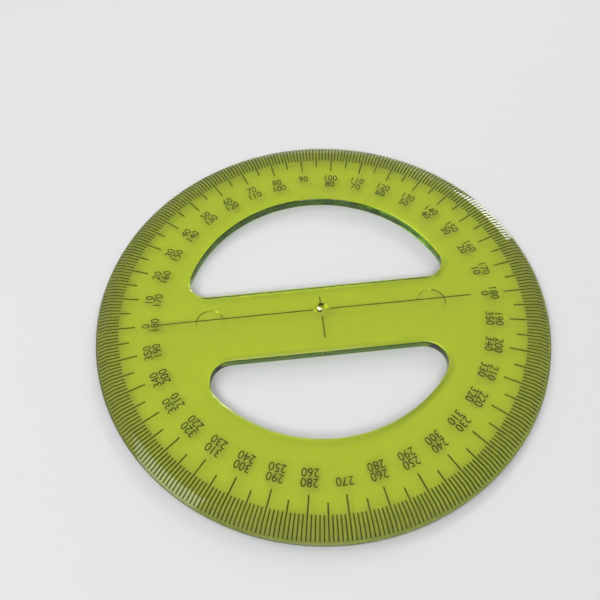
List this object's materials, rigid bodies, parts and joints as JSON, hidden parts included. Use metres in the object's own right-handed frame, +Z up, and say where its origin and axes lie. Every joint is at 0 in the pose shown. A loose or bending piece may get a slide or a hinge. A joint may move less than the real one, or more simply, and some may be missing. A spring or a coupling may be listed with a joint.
{
  "type": "full circle protractor",
  "caption": "Flat round drawing protractor in clear green plastic: bevelled rim, full-circle degree scale, cross bar and two D-shaped openings.",
  "frame": {"origin": "centre of the degree scale, on the underside that the disc rests on", "axes": "+Z up out of the printed face, +X along the base line towards 0 degrees of the inner scale, +Y towards 90 degrees"},
  "size_m": [0.11, 0.11, 0.0026],
  "materials": {
    "clear_plastic": "clear moulded plastic tinted yellow-green, polished faces, deep green where looked at through an edge",
    "printed_ink": "thin printed ink, dark brown-black, slightly matt"
  },
  "bodies": {
    "root": {"disc": "clear_plastic", "degree_line_000": "printed_ink", "degree_line_010": "printed_ink", "degree_line_020": "printed_ink", "degree_line_030": "printed_ink", "degree_line_040": "printed_ink", "degree_line_050": "printed_ink", "degree_line_060": "printed_ink", "degree_line_070": "printed_ink", "degree_line_080": "printed_ink", "degree_line_090": "printed_ink", "degree_line_100": "printed_ink", "degree_line_110": "printed_ink", "degree_line_120": "printed_ink", "degree_line_130": "printed_ink", "degree_line_140": "printed_ink", "degree_line_150": "printed_ink", "degree_line_160": "printed_ink", "degree_line_170": "printed_ink", "degree_line_180": "printed_ink", "degree_line_190": "printed_ink", "degree_line_200": "printed_ink", "degree_line_210": "printed_ink", "degree_line_220": "printed_ink", "degree_line_230": "printed_ink", "degree_line_240": "printed_ink", "degree_line_250": "printed_ink", "degree_line_260": "printed_ink", "degree_line_270": "printed_ink", "degree_line_280": "printed_ink", "degree_line_290": "printed_ink", "degree_line_300": "printed_ink", "degree_line_310": "printed_ink", "degree_line_320": "printed_ink", "degree_line_330": "printed_ink", "degree_line_340": "printed_ink", "degree_line_350": "printed_ink", "base_line_left": "printed_ink", "base_line_right": "printed_ink", "centre_line_above": "printed_ink", "centre_line_below": "printed_ink"}
  },
  "joints": []
}
